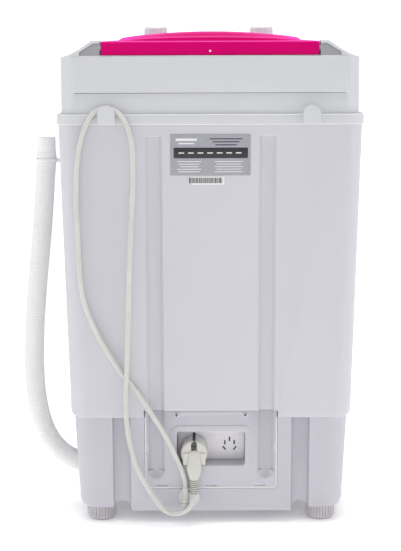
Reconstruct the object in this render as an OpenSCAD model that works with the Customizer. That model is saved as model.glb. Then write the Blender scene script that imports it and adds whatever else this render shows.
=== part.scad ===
// Single-tub washing machine with a spin basket: rear at +Y, front at -Y,
// origin on the floor under the middle of the casing.

/* [Casing] */
// Width over the lip of the top cover
overall_w = 438; // [432:1:442]
// Depth over the lip of the top cover
overall_d = 424; // [418:1:430]
// Height of the seam between base and casing
seam_z = 164; // [162:1:166]
// Height of the lower edge of the top cover
cover_z = 592; // [585:1:600]
// Height of the rear edge of the top cover
deck_z = 687; // [686:1:688]
// Wall of the moulded casings
wall = 2.5; // [2:0.1:3]

/* [Lid] */
// Width of the lid
lid_w = 307; // [300:1:307]
// Height of the hinge axis
hinge_z = 698.5; // [698.3:0.1:699]
// Distance of the hinge axis behind the middle
hinge_y = 198; // [197.8:0.1:198]

/* [Tub and drive] */
// Inside radius of the wash tub at its mouth
tub_r = 165; // [160:1:168]
// Height of the tub floor
tub_z = 230; // [226:1:234]
// Distance of the tub axis behind the middle
axis_y = 30; // [28:1:32]
// Radius of the driven pulley
driven_r = 70; // [66:1:72]
// Radius of the motor pulley
drive_r = 22; // [20:1:24]
// Distance of the motor beside the tub axis
motor_x = 110; // [108:1:112]

/* [Controls] */
// Distance of each knob from the middle
knob_x = 87; // [80:1:95]
// Distance of the knobs in front of the middle
knob_y = 135; // [130:1:140]
// Outside diameter of a knob skirt
knob_d = 46; // [40:1:50]

/* [Cord and hose] */
// Diameter of the mains lead
cord_d = 7; // [6.6:0.1:7]
// Outside diameter of the drain hose
hose_d = 30; // [29:0.5:31]
// Diameter of the plug head
plug_d = 40; // [38:0.5:41]

/* [Hidden] */
$fn = 64;
eps = 0.01;
// Radial clearance of a shaft that turns in a bore
running = 0.08;

// Colours
shell_white = [0.84, 0.84, 0.87];
base_white = [0.81, 0.80, 0.84];
cover_white = [0.87, 0.87, 0.89];
lid_pink = [0.88, 0.0, 0.45];
cap_grey = [0.65, 0.65, 0.66];
label_grey = [0.66, 0.66, 0.70];
foot_grey = [0.74, 0.72, 0.75];
cord_cream = [0.86, 0.87, 0.83];
hose_white = [0.93, 0.93, 0.93];
steel = [0.62, 0.63, 0.66];
dark_grey = [0.22, 0.22, 0.24];
tub_white = [0.90, 0.91, 0.92];

// Base and casing: half widths and half depths where each one starts and ends
base_z = 19;
leg_z = 24.5;
base_top_w = overall_w - 33;
base_top_d = overall_d - 36;
base_low_w = overall_w - 44;
base_low_d = overall_d - 46;
base_wall = 3;
base_r = 30;
shell_top_w = overall_w - 4;
shell_top_d = overall_d - 4;
shell_low_w = overall_w - 24;
shell_low_d = overall_d - 26;
shell_chamfer = 5;
shell_r = 28;
cover_w = overall_w - 14;
cover_d = overall_d - 10;
cover_r = 26;
lip_r = 30;
lip_h = 15;
panel_lip = 8;
cavity_h = 10;
shell_top_z = cover_z + cavity_h - 0.05;

// Lean of the rear walls, which narrow towards the floor
base_lean = atan((base_top_d - base_low_d) / 2 / (seam_z - base_z));
shell_lean = atan((shell_top_d - shell_low_d) / 2 / (shell_top_z - seam_z));
base_rear_y = base_low_d / 2 - base_z * tan(base_lean);
shell_rear_y = shell_low_d / 2 - seam_z * tan(shell_lean);
cover_rear_y = cover_d / 2;

// Recessed channels on the rear wall
channel_x = 81;
channel_w = 26;
channel_depth = 7;
channel_top = 576;
channel_foot = 71;
groove_x = 132;
groove_w = 27;
groove_depth = 9;
groove_r = groove_w / 2;

// Access panel and the plug recess in it
panel_w = 195;
panel_z = 54;
panel_top = 174.5;
panel_t = 2.5;
panel_gap = 0.5;
recess_w = 101;
recess_z = [89, 142];
recess_depth = 30;
recess_r = 5;
recess_h = recess_z[1] - recess_z[0];
scoop_z = 81;
scoop_r = 13.4;
screw_x = 50.5;
screw_z = 167;

// Plug, parked in the recess
plug_x = 25;
plug_z = 109;
plug_face = -recess_depth + panel_t + 0.5;
plug_back = 11;
pin_r = 2.4;
pin_gap = 19;
neck_low = 73;
relief_low = 50;
relief_r = 7;
neck_out = 10;

// Cord gland
gland_x = 32.5;
gland_z = 41;
gland_r = 15.5;
gland_t = 2.5;
hood_x = 38;
hood_out = 9;

// Lid, its dome and the rails beside it
lid_rear = 203.5;
lid_front = -87;
lid_base = deck_z + 2;
lid_side = 708;
lid_crown = 713.5;
lid_wall = 3;
dome_w = 268;
dome_rear = 166;
dome_front = -60;
dome_crown = 722.5;
dome_side = 713;
pin_bore = 3;
rail_in = lid_w / 2 + 1.5;
cap_rear = 206;
cap_front = 188;

// Tub, pulsator and basket
tub_low_r = tub_r - 10;
tub_wall = 2.5;
mouth_r = 140;
mouth_y = 50;
shaft_r = 6;
housing_r = 26;
pulley_z = 70;
pulley_t = 15;
belt_t = 5;
basket_r = 112;
basket_z = tub_z + 23.05;
basket_top = 560;
bush_r = 11;

// Motor and its carrier plate
bracket_z = 98;
bracket_half = base_low_w / 2 - 1.6;
motor_r = 56;
motor_h = 78;
motor_ear = 66;

// Drain
drain_x = 75;
drain_y = 110;
drain_z = 58;
drain_r = 13;
spigot_x = 166;
spigot_l = 13.9;
spigot_bore = 9;
hose_rise = 22;

// Centreline of the mains lead, from the gland over the hook to the plug
cord_route = [
    [38, 198.5, 58], [38.5, 199, 68], [43, 200, 84], [53, 202, 108], [65, 203, 134],
    [78, 204, 157], [92, 206, 180], [106, 207, 202], [120, 207, 221], [135, 208, 242],
    [150, 209, 266], [164, 209, 292], [175, 210, 318], [183, 211, 344], [187, 212, 378],
    [188.5, 213, 415], [189.5, 214, 452], [190, 214, 490], [189, 215, 525], [186, 215, 552],
    [181.5, 215, 573], [176.5, 215.6, 588], [171.5, 215.6, 599], [164.5, 215.6, 608],
    [156, 215.6, 613.2], [146.3, 215.6, 615], [136.5, 215.6, 613.2], [128, 215.6, 608],
    [121, 215.6, 599], [116, 215.6, 588], [112, 216, 573], [109.5, 217, 554], [109, 219, 528],
    [110, 219, 495], [112.5, 219, 455], [115, 218, 405], [117.5, 217, 345], [120, 216, 280],
    [122, 215, 235], [123.5, 214, 205], [123.5, 213, 175], [121.5, 210, 147], [117.5, 209, 122],
    [110.5, 208.5, 96], [101.5, 208, 75], [91, 208, 57], [84.5, 208.5, 46.5], [77, 209, 35.5],
    [70, 209.4, 27.6], [62, 209.6, 22.9], [53, 209.6, 21.2], [44.2, 209.2, 22.4],
    [36.3, 208.8, 26.2], [30, 206.4, 32.9], [26.8, 202.8, 41.5], [25.2, 200.2, 49.5]
];

// Centreline of the drain hose, from the spigot up to the cuff
hose_route = [
    [179, 110, 63.3], [191, 110, 68.1], [203, 110, 73], [212, 110, 76.9], [220.5, 110, 81.6],
    [228.5, 110, 87.7], [236, 110, 95], [243, 110, 104], [249, 110, 114], [254, 110, 125],
    [258.3, 110, 138], [261.8, 110, 152], [264.6, 110, 168], [266.6, 110, 186],
    [267.9, 110, 208], [268.2, 110, 231], [267.6, 110, 255], [265.8, 110, 290],
    [262.5, 110, 330], [258.6, 110, 368], [254, 110, 410], [250.5, 110, 445],
    [247.6, 110, 480], [245, 110, 512], [243.8, 110, 526], [243, 110, 538],
    [243, 110, 545]
];
cuff_top = 570;
cuff_z = 545;
clip_z = 533.5;
clip_h = 5;
cuff_bore = 9.5;

module rounded(w, d, r) {
    union() {
        square([w - 2 * r, d], center = true);
        square([w, d - 2 * r], center = true);
        for (sx = [-1, 1], sy = [-1, 1])
            translate([sx * (w / 2 - r), sy * (d / 2 - r)]) circle(r);
    }
}

// Rounded rectangle standing on its own height
module slab(w, d, r, z, h) {
    translate([0, 0, z]) linear_extrude(h) rounded(w, d, r);
}

// Shape that narrows smoothly from one rounded rectangle to the next: [z, width, depth, radius]
module loft(levels) {
    hull()
        for (level = levels)
            slab(level[1], level[2], level[3], level[0], eps);
}

// Places children on the leaning rear wall of the base: X along it, Y out of it, Z up it
module on_base_rear(x = 0, z = 0) {
    translate([x, base_rear_y, 0]) rotate([-base_lean, 0, 0]) translate([0, 0, z]) children();
}

// Places children on the leaning rear wall of the casing
module on_shell_rear(x = 0, z = 0) {
    translate([x, shell_rear_y, 0]) rotate([-shell_lean, 0, 0]) translate([0, 0, z]) children();
}

// Straight channel cut in a rear wall, wider at the wall than at its floor
module channel(w, depth, h, out = 6, slope = 0.55) {
    flare = depth * slope;
    linear_extrude(h)
        polygon([
            [-w / 2 + flare, -depth], [w / 2 - flare, -depth],
            [w / 2, 0], [w / 2, out], [-w / 2, out], [-w / 2, 0]
        ]);
}

// Cylinder lying along Y, from its front end
module rod_y(r, h) {
    rotate([-90, 0, 0]) cylinder(r = r, h = h);
}

// Cylinder lying along X
module rod_x(r, h) {
    rotate([0, 90, 0]) cylinder(r = r, h = h);
}

// Tube swept along a list of points, as one closed skin
module sweep(route, r, sides) {
    last = len(route) - 1;
    function along(i) =
        let (d = i == 0 ? route[1] - route[0]
               : i == last ? route[last] - route[last - 1]
               : (route[i + 1] - route[i]) / norm(route[i + 1] - route[i])
                 + (route[i] - route[i - 1]) / norm(route[i] - route[i - 1]))
        d / norm(d);
    function ring(i) =
        let (t = along(i), u0 = cross(t, [0, 1, 0]), u = u0 / norm(u0), v = cross(t, u))
        [for (k = [0 : sides - 1]) let (a = 360 * k / sides)
            route[i] + r * (cos(a) * u + sin(a) * v)];
    points = [for (i = [0 : last]) each ring(i)];
    skin = [for (i = [0 : last - 1], k = [0 : sides - 1])
        let (a = i * sides + k, b = i * sides + (k + 1) % sides)
        each [[a, b, b + sides], [a, b + sides, a + sides]]];
    ends = [[for (k = [0 : sides - 1]) sides - 1 - k],
            [for (k = [0 : sides - 1]) last * sides + k]];
    polyhedron(points, concat(skin, ends));
}

// ---------- Casing ----------

function base_depth(z) = base_low_d + 2 * (z - base_z) * tan(base_lean);

// Toe of the base, rounded at its lower edge, and its leaning sides
module base_outer() {
    loft([[base_z, base_low_w - 20, base_depth(base_z), base_r - 8],
          [leg_z, base_low_w - 13, base_depth(leg_z), base_r - 5],
          [base_z + 7, base_low_w - 6, base_depth(base_z + 7), base_r - 3],
          [base_z + 15, base_low_w - 1, base_depth(base_z + 15), base_r - 1],
          [seam_z - eps, base_top_w, base_top_d, base_r]]);
}

module base_inner() {
    t = 2 * base_wall;
    low = leg_z + base_wall;
    loft([[low, base_low_w - 9 - t, base_depth(low) - t, base_r - 6],
          [base_z + 15, base_low_w - 1 - t, base_depth(base_z + 15) - t, base_r - 4],
          [seam_z + 1, base_top_w - t, base_top_d - t, base_r - base_wall]]);
}

// Grooves in the rear and front walls of the base, each over an arch
module base_grooves(w, depth) {
    for (x = [-groove_x, groove_x], turn = [0, 180])
        rotate(turn) on_base_rear(x) channel(w, depth, seam_z + 5, 8, 0.15);
}

// Rail behind the access panel, with a post for each of its screws
module screw_rail() {
    on_base_rear() difference() {
        union() {
            translate([-112, -16, 150]) cube([224, 6, 10]);
            for (x = [-112, 99])
                translate([x, -16, 150]) cube([13, 13.5, 10]);
            for (x = [-screw_x, screw_x])
                translate([x - 6, -16, 150]) cube([12, 13.2, 22]);
        }
        for (x = [-screw_x, screw_x])
            translate([x, -20, screw_z]) rod_y(2, 20);
    }
}

module base() {
    color(base_white) union() {
        base_skirt();
        screw_rail();
    }
}

module base_skirt() {
    difference() {
        base_outer();
        difference() {
            base_inner();
            base_grooves(groove_w + 2 * base_wall, groove_depth + base_wall);
        }
        base_grooves(groove_w, groove_depth);
        // arches under the grooves
        for (x = [-groove_x, groove_x], turn = [0, 180])
            rotate(turn) translate([x, base_low_d / 2 - 60, base_z]) rod_y(groove_r, 85);
        // legs stand a little higher than the middle
        for (side = [-1, 1])
            translate([side * 200 - 58, -overall_d / 2, base_z - 1])
                cube([116, overall_d, leg_z - base_z + 1]);
        // sockets for the feet
        for (x = [-165, 165], y = [-158, 158])
            translate([x, y, base_z - 1]) cylinder(r = 10, h = 20);
        // service opening under the pulley
        translate([0, axis_y, base_z - 1]) cylinder(r = 95, h = 20);
        // opening behind the access panel
        translate([-panel_w / 2 + 4, base_top_d / 2 - 25, panel_z + 4])
            cube([panel_w - 8, 60, seam_z]);
        on_base_rear(0, panel_z - panel_gap)
            translate([-panel_w / 2 - panel_gap, -base_wall - 0.3, 0])
                cube([panel_w + 2 * panel_gap, 20, seam_z]);
        // hole for the drain hose
        at_spigot() rod_x(hose_d / 2 + 0.8, 60);
        // hole for the mains lead, behind its gland
        on_base_rear(gland_x, gland_z) translate([0, -20, 0]) rod_y(6, 30);
    }
}

module foot(x, y) {
    flutes = 24;
    color(foot_grey) translate([x, y, 0]) difference() {
        rotate_extrude() union() {
            difference() {
                union() {
                    square([13.7, leg_z]);
                    translate([0, 8]) square([21.7, leg_z - 8]);
                    translate([13.7, 8]) circle(8);
                }
                translate([-40, -10]) square([40, 60]);
            }
            square([9.9, leg_z + 12]);
        }
        for (k = [0 : flutes - 1])
            rotate(k * 360 / flutes) translate([22.1, 0, 6]) cylinder(r = 1, h = leg_z);
    }
}
module foot_front_left() { foot(-165, -158); }
module foot_front_right() { foot(165, -158); }
module foot_rear_left() { foot(-165, 158); }
module foot_rear_right() { foot(165, 158); }

module shell_channels(w, depth, top) {
    for (x = [-channel_x, channel_x])
        on_shell_rear(x) translate([0, 0, seam_z - 5]) channel(w, depth, top - seam_z + 5, 8);
}

module body_shell() {
    t = 2 * wall;
    color(shell_white) difference() {
        loft([[seam_z, shell_low_w - 6, shell_low_d - 4, shell_r - 3],
              [seam_z + shell_chamfer, shell_low_w, shell_low_d, shell_r],
              [shell_top_z, shell_top_w, shell_top_d, shell_r]]);
        difference() {
            loft([[seam_z + wall, shell_low_w - 6 - t, shell_low_d - 4 - t, shell_r - 3 - wall],
                  [seam_z + shell_chamfer, shell_low_w - t, shell_low_d - t, shell_r - wall],
                  [shell_top_z + 1, shell_top_w - t, shell_top_d - t, shell_r - wall]]);
            shell_channels(channel_w + t, channel_depth + wall, channel_top + wall);
        }
        // the flange that rests on the base is open inside it
        slab(base_top_w - 2 * base_wall, base_top_d - 2 * base_wall - 14, base_r - base_wall,
             seam_z - 1, 5);
        shell_channels(channel_w, channel_depth, channel_top);
        // step over the top of the access panel
        translate([-panel_w / 2 - 0.8, shell_low_d / 2 - 30, seam_z - 1])
            cube([panel_w + 1.6, 50, panel_top - seam_z + 1.2]);
    }
}

// Section of one side rail beside the lid, seen from behind, mirrored for the other side
function rail_section(t) = [
    [rail_in + t, deck_z - 20], [rail_in + t, 709 - t], [166 - t / 3, 709 - t], [183, 697.5 - t],
    [195, 691 - t], [cover_w / 2 - t, 685.5 - t], [cover_w / 2 - t, deck_z - 20]
];

function cap_section(t) = [
    [rail_in - 0.5, lid_base - 1 - t], [rail_in - 0.5, 705 + t], [163 + t / 2, 705 + t],
    [183 + t, 692.5 + t], [183 + t, lid_base - 1 - t]
];

// Upright section pulled forward from a distance behind the middle
module pulled(section, rear, front) {
    translate([0, rear, 0]) rotate([90, 0, 0]) linear_extrude(rear - front) polygon(section);
}

module mirrored() {
    children();
    mirror([1, 0, 0]) children();
}

module cover_outer() {
    union() {
        slab(overall_w, overall_d, lip_r, cover_z, lip_h);
        slab(cover_w, cover_d, cover_r, cover_z, deck_z - cover_z);
        intersection() {
            slab(cover_w, cover_d, cover_r, cover_z, 140);
            mirrored() pulled(rail_section(0), cover_rear_y, -knob_y + 46);
        }
        // raised field on the rear wall
        intersection() {
            slab(cover_w + 3, cover_d + 3, cover_r + 1.5, 637, deck_z - 637);
            translate([-194.5, cover_rear_y - 30, 637]) cube([389, 60, 60]);
        }
    }
}

module top_cover() {
    t = 2 * wall;
    color(cover_white) difference() {
        cover_outer();
        slab(shell_top_w + 0.4, shell_top_d + 0.4, shell_r, cover_z - 1, cavity_h + 1);
        slab(cover_w - t, cover_d - t, cover_r - wall, cover_z, deck_z - 3 - cover_z);
        intersection() {
            mirrored() pulled(rail_section(wall), cap_front - 3, -knob_y + 46 + wall);
            slab(cover_w - t, cover_d - t, cover_r - wall, cover_z, 140);
        }
        // mouth of the tub
        translate([0, mouth_y, deck_z - 10]) cylinder(r = mouth_r, h = 20);
        // pockets for the hinge caps
        mirrored() pulled(cap_section(0.3), overall_d, cap_front - 0.3);
        // shadow line at each end of the raised field
        mirrored() translate([194, cover_rear_y - 1.5, 672]) cube([1.2, 20, 60]);
        // crease under the raised field
        translate([-194.5, cover_rear_y - 0.8, 636]) cube([389, 5, 1]);
    }
}

// Section of the control panel, sloping at both ends as the rails do
function panel_section(t) = [
    [-cover_w / 2, deck_z - 5], [-cover_w / 2, 685.5 - t], [-195, 691 - t], [-183, 697.5 - t],
    [-166, 709 - t], [166, 709 - t], [183, 697.5 - t], [195, 691 - t], [cover_w / 2, 685.5 - t],
    [cover_w / 2, deck_z - 5]
];

module control_panel() {
    front = -cover_d / 2 - panel_lip;
    rear = -knob_y + 45.5;
    t = wall;
    color(cover_white) difference() {
        intersection() {
            translate([-cover_w / 2, 0, 0]) rotate([90, 0, 90]) linear_extrude(cover_w)
                polygon([[rear, deck_z + eps], [rear, 709], [-190, 709], [front, 701],
                         [front, deck_z + eps]]);
            slab(cover_w, -2 * front, cover_r, deck_z, 40);
            pulled(panel_section(0), rear, front);
        }
        intersection() {
            translate([-cover_w / 2, 0, 0]) rotate([90, 0, 90]) linear_extrude(cover_w)
                polygon([[rear - t, deck_z - 1], [rear - t, 709 - t], [-189, 709 - t],
                         [front + t, 701 - t], [front + t, deck_z - 1]]);
            slab(cover_w - 2 * t, -2 * front - 2 * t, cover_r - t, deck_z - 2, 40);
            pulled(panel_section(t), rear, front);
        }
        for (x = [-knob_x, knob_x])
            translate([x, -knob_y, 700]) cylinder(r = 5, h = 20);
    }
}

// ---------- Rear details ----------

module recess_hole(grow, depth, out) {
    translate([0, out, recess_z[0] + recess_h / 2]) rotate([90, 0, 0])
        linear_extrude(depth + out)
            rounded(recess_w + 2 * grow, recess_h + 2 * grow, recess_r + grow);
}

// Snap slots along the sides and foot of the access panel
module snap_slots() {
    for (x = [-93.5, 93.5])
        translate([x - 2.5, -2, 107]) cube([5, 5, 15]);
    for (x = [-72, 0, 72])
        translate([x - 8, -2, 57]) cube([16, 5, 3.5]);
}

// Channels of the panel, each with a scooped foot
module panel_channels() {
    on_base_rear() for (x = [-channel_x, channel_x]) {
        translate([x, 0, scoop_z]) channel(channel_w, channel_depth, 150);
        translate([x, scoop_r - channel_depth, scoop_z]) sphere(scoop_r);
    }
}

module rear_access_panel() {
    color(base_white) difference() {
        union() {
            difference() {
                on_base_rear() translate([-panel_w / 2, -panel_t, panel_z])
                    cube([panel_w, panel_t, panel_top - panel_z - 1]);
                panel_channels();
            }
            // walls of the channels
            intersection() {
                on_base_rear() for (x = [-channel_x, channel_x])
                    translate([x, 0, channel_foot - 2])
                        channel(channel_w + 4, channel_depth + 2, 150, 0);
                on_base_rear() translate([-panel_w / 2 + 2, -20, panel_z])
                    cube([panel_w - 4, 20, panel_top - panel_z - 1]);
            }
            // plug recess, and a raised border round its mouth
            on_base_rear() recess_hole(2, recess_depth + 2, 0);
            on_base_rear() recess_hole(9, 0.1, 0.5);
        }
        panel_channels();
        on_base_rear() recess_hole(0, recess_depth, 10);
        on_base_rear() recess_hole(-4, recess_depth + 5, 10);
        on_base_rear() snap_slots();
        on_base_rear() for (x = [-screw_x, screw_x])
            translate([x, -10, screw_z]) rod_y(2, 20);
    }
}

module access_panel_screws() {
    color(steel) on_base_rear() for (x = [-screw_x, screw_x])
        translate([x, 0, screw_z]) difference() {
            union() {
                translate([0, 0.05, 0]) rod_y(4, 1.6);
                translate([0, -12, 0]) rod_y(1.9, 12.1);
            }
            for (turn = [0, 90])
                rotate([0, turn, 0]) translate([-2.2, 0.7, -0.5]) cube([4.4, 2, 1]);
        }
}

// Five slots of the blind outlet pattern: [x, z, turn]
blind_slots = [[0, 8, 0], [-7, 3, 0], [7, 3, 0], [-8, -6, -40], [8, -6, 40]];

module parking_plate() {
    color(base_white) on_base_rear() difference() {
        translate([0, -recess_depth + panel_t, recess_z[0] + recess_h / 2])
            rotate([90, 0, 0])
                linear_extrude(panel_t - 0.1)
                    rounded(recess_w - 0.4, recess_h - 0.4, recess_r - 0.2);
        for (side = [-1, 1])
            translate([plug_x + side * pin_gap / 2, -recess_depth - 1, plug_z - 2])
                rod_y(pin_r + 0.2, 10);
        translate([plug_x - 1.9, -recess_depth - 1, 122]) cube([3.8, 10, 9.5]);
        for (s = blind_slots)
            translate([-28 + s[0], -recess_depth - 1, 113 + s[1]]) rotate([0, s[2], 0])
                translate([-1.1, 0, -3.4]) cube([2.2, 10, 6.8]);
    }
}

module rating_label() {
    color(label_grey) on_shell_rear(0, 521) translate([-56.5, 0.02, 0]) cube([113, 0.6, 58]);
}

module barcode_sticker() {
    color("white") on_shell_rear(4, 507.5) translate([-24, 0.02, 0]) cube([48, 0.4, 12]);
}

module cord_hook(x) {
    r = 12.2;
    neck = 8.4;
    out = overall_d / 2;
    color(cover_white) translate([x, out, 0]) union() {
        // plate with a round top
        translate([-r, 7.2, 593]) cube([2 * r, 2.8, 14.5]);
        translate([0, 7.2, 607.5]) rod_y(r, 2.8);
        // neck that carries the lead
        intersection() {
            translate([0, 0.02, 602.3]) rod_y(neck, 7.4);
            translate([-20, 0, 595]) cube([40, 20, 30]);
        }
    }
}
module cord_hook_left() { cord_hook(-142); }
module cord_hook_right() { cord_hook(146); }

// ---------- Lid and hinge ----------

// Round bar along Y whose top follows the crown of the lid
module crowned(w, rear, front, low, side, crown) {
    rise = crown - side;
    r = (w * w / 4 + rise * rise) / (2 * rise);
    intersection() {
        translate([-w / 2, front, low]) cube([w, rear - front, crown - low + 5]);
        translate([0, front, crown - r]) rod_y(r, rear - front, $fn = 720);
    }
}

module lid() {
    t = lid_wall;
    color(lid_pink) difference() {
        union() {
            difference() {
                union() {
                    crowned(lid_w, lid_rear, lid_front, lid_base, lid_side, lid_crown);
                    crowned(dome_w, dome_rear, dome_front, lid_base + 10, dome_side, dome_crown);
                }
                crowned(lid_w - 2 * t, lid_rear - t, lid_front + t, lid_base - 1,
                        lid_side - t, lid_crown - t);
                crowned(dome_w - 2 * t, dome_rear - t, dome_front + t, lid_base - 1,
                        dome_side - t, dome_crown - t);
            }
            // bosses round the hinge pins
            for (side = [-1, 1])
                translate([side * (lid_w / 2 - 6) - 6, hinge_y, hinge_z]) rod_x(6.5, 12);
            // grip along the front edge
            translate([-45, lid_front - 2, lid_side - 6]) cube([90, 4, 4]);
        }
        for (side = [-1, 1])
            translate([side * (lid_w / 2 - 6) - 10, hinge_y, hinge_z]) rod_x(pin_bore + running, 20);
        // corner behind the hinge is cut back so that it clears the deck
        difference() {
            translate([-lid_w, hinge_y, lid_base - 1]) cube([2 * lid_w, 20, hinge_z - lid_base + 1]);
            translate([-lid_w, hinge_y, hinge_z]) rod_x(11, 4 * lid_w);
        }
    }
}

module hinge_cap_right() {
    color(cap_grey) difference() {
        pulled(cap_section(0), cap_rear, cap_front);
        translate([rail_in - 5, hinge_y, hinge_z]) rod_x(pin_bore + 0.02, 20);
    }
}
module hinge_cap_left() {
    mirror([1, 0, 0]) hinge_cap_right();
}
module hinge_pin_right() {
    color(steel) translate([lid_w / 2 - 11, hinge_y, hinge_z]) rod_x(pin_bore, 25);
}
module hinge_pin_left() {
    mirror([1, 0, 0]) hinge_pin_right();
}

// ---------- Controls ----------

module switch_box(x, w, d, h) {
    color(dark_grey) translate([x, -knob_y, 0]) difference() {
        union() {
            translate([-w / 2, -d / 2, 706.4 - h]) cube([w, d, h]);
            translate([-w / 2 - 4, -6, 704]) cube([w + 8, 12, 2.4]);
        }
        translate([0, 0, 706.4 - h - 1]) cylinder(r = 3 + running, h = h + 2);
    }
}
module wash_timer() { switch_box(knob_x, 32, 30, 17); }
module mode_switch() { switch_box(-knob_x, 28, 26, 17); }

module switch_shaft(x) {
    color(steel) translate([x, -knob_y, 690]) cylinder(r = 3, h = 35);
}
module wash_timer_shaft() { switch_shaft(knob_x); }
module mode_switch_shaft() { switch_shaft(-knob_x); }

module knob(x) {
    flutes = 28;
    r = knob_d / 2;
    z0 = 709.6;
    color(cover_white) translate([x, -knob_y, z0]) difference() {
        union() {
            cylinder(r = r, h = 4);
            translate([0, 0, 4]) cylinder(r = r - 3.5, h = 20.5);
            translate([0, 0, 24.5]) cylinder(r1 = r - 3.5, r2 = r - 5.5, h = 2);
            translate([-1.5, 0, 0]) cube([3, r - 0.5, 5.5]);
        }
        for (k = [0 : flutes - 1])
            rotate(k * 360 / flutes) translate([r - 2.9, 0, 4.6]) cylinder(r = 1, h = 25);
        translate([0, 0, -1]) cylinder(r = 3.05, h = 17);
    }
}
module wash_timer_knob() { knob(knob_x); }
module mode_knob() { knob(-knob_x); }

// ---------- Tub and rotor ----------

module on_axis(z = 0) {
    translate([0, axis_y, z]) children();
}

module wash_tub() {
    top = deck_z - 3 - eps;
    w = tub_wall;
    color(tub_white) on_axis() difference() {
        rotate_extrude($fn = 128)
            polygon([
                [0, tub_z], [tub_low_r - 8, tub_z], [tub_low_r + w, tub_z + 10],
                [tub_r + w, top - 6], [tub_r + 9, top - 4], [tub_r + 9, top],
                [tub_r - 2, top], [tub_r, top - 8], [tub_low_r, tub_z + 12],
                [tub_low_r - 9, tub_z + w], [0, tub_z + w]
            ]);
        translate([0, 0, tub_z - 1]) cylinder(r = 18, h = 10);
        translate([drain_x, drain_y - axis_y, tub_z - 1]) cylinder(r = 10, h = 10);
    }
}

module lint_filter() {
    color(hose_white) on_axis() difference() {
        translate([-30, -tub_low_r + 1, 330]) cube([60, 22, 150]);
        translate([-27, -tub_low_r + 4, 333]) cube([54, 16, 150]);
        for (k = [0 : 6])
            translate([-22, -tub_low_r + 10, 345 + k * 18]) cube([44, 20, 8]);
    }
}

module pulsator() {
    ribs = 6;
    z0 = tub_z + 8;
    color(tub_white) on_axis() difference() {
        union() {
            rotate_extrude($fn = 128)
                polygon([[0, z0], [134, z0], [136, z0 + 3], [130, z0 + 7], [60, z0 + 7],
                         [34, z0 + 15], [0, z0 + 15]]);
            for (k = [0 : ribs - 1])
                rotate(k * 360 / ribs) translate([26, -4, z0 + 5]) cube([96, 8, 8]);
        }
        translate([0, 0, z0 - 1]) cylinder(r = shaft_r + 0.05, h = 12);
        translate([0, 0, z0]) cylinder(r = 3.1, h = 30);
    }
}

module pulsator_bolt() {
    z0 = tub_z + 23.05;
    color(steel) on_axis(z0) union() {
        cylinder(r = 7, h = 4.5, $fn = 6);
        translate([0, 0, -11]) cylinder(r = 3, h = 11.1);
    }
}

module spin_basket() {
    w = 2;
    columns = 16;
    z0 = basket_z;
    color(tub_white) on_axis() difference() {
        rotate_extrude($fn = 128)
            polygon([
                [17, z0], [basket_r - 12, z0], [basket_r - 4, z0 + 6], [basket_r, basket_top - 10],
                [basket_r + 4, basket_top - 8], [basket_r + 4, basket_top], [basket_r - w, basket_top],
                [basket_r - w, basket_top - 9], [basket_r - 4 - w, z0 + 8], [basket_r - 13, z0 + 3],
                [20, z0 + 3], [20, z0 + 30], [17, z0 + 30]
            ]);
        for (k = [0 : columns - 1], z = [290, 345, 400, 455, 510])
            rotate(k * 360 / columns) translate([basket_r - 15, -2.5, z]) cube([30, 5, 34]);
    }
}

module drive_shaft() {
    color(steel) on_axis() difference() {
        translate([0, 0, pulley_z - 4]) cylinder(r = shaft_r, h = tub_z + 19 - pulley_z + 4);
        translate([0, 0, tub_z + 11.9]) cylinder(r = 3.1, h = 20);
    }
}

// Ring on the tub axis
module collar(z, h, r_out, r_in) {
    on_axis(z) difference() {
        cylinder(r = r_out, h = h);
        translate([0, 0, -1]) cylinder(r = r_in, h = h + 2);
    }
}

module shaft_seal() {
    color(dark_grey) collar(tub_z - 4, 8, 17.9, shaft_r + running);
}
module upper_bush() {
    color([0.72, 0.52, 0.28]) collar(tub_z - 34, 28, bush_r, shaft_r + running);
}
module lower_bush() {
    color([0.72, 0.52, 0.28]) collar(bracket_z + 6, 28, bush_r, shaft_r + running);
}

module bearing_housing() {
    low = bracket_z + 6;
    color([0.45, 0.46, 0.48]) on_axis() difference() {
        union() {
            translate([0, 0, low]) cylinder(r = 17, h = tub_z - low - 6);
            translate([0, 0, tub_z - 40]) cylinder(r = housing_r, h = 40 - 0.05);
            translate([0, 0, tub_z - 6]) cylinder(r = 60, h = 6 - 0.05);
            for (k = [0 : 5])
                rotate(k * 60) translate([10, -2.5, tub_z - 30]) cube([44, 5, 25]);
        }
        translate([0, 0, low - 1]) cylinder(r = bush_r + 0.02, h = 29);
        translate([0, 0, low]) cylinder(r = shaft_r + 2, h = tub_z - low);
        translate([0, 0, tub_z - 34.02]) cylinder(r = bush_r + 0.02, h = 30);
        translate([0, 0, tub_z - 6]) cylinder(r = 18, h = 10);
    }
}

// V-belt pulley round an upright shaft
module pulley(r, bore_r) {
    mid = pulley_t / 2;
    difference() {
        rotate_extrude($fn = 96)
            polygon([
                [0, 0], [r, 0], [r, 2], [r - belt_t, mid - 2], [r - belt_t, mid + 2],
                [r, pulley_t - 2], [r, pulley_t], [0, pulley_t]
            ]);
        translate([0, 0, -1]) cylinder(r = bore_r, h = pulley_t + 2);
    }
}

module driven_pulley() {
    color([0.70, 0.71, 0.73]) on_axis(pulley_z) pulley(driven_r, shaft_r + 0.05);
}
module motor_pulley() {
    color([0.70, 0.71, 0.73]) translate([-motor_x, axis_y, pulley_z]) pulley(drive_r, 5.05);
}

// Outline round both pulleys, where the belt lies
module belt_path(r1, r2) {
    lean = asin((r1 - r2) / motor_x);
    polygon(concat(
        [for (a = [-90 - lean : 5 : 90 + lean]) [r1 * cos(a), r1 * sin(a)]],
        [for (a = [90 + lean : 10 : 270 - lean]) [-motor_x + r2 * cos(a), r2 * sin(a)]]
    ));
}

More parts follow.
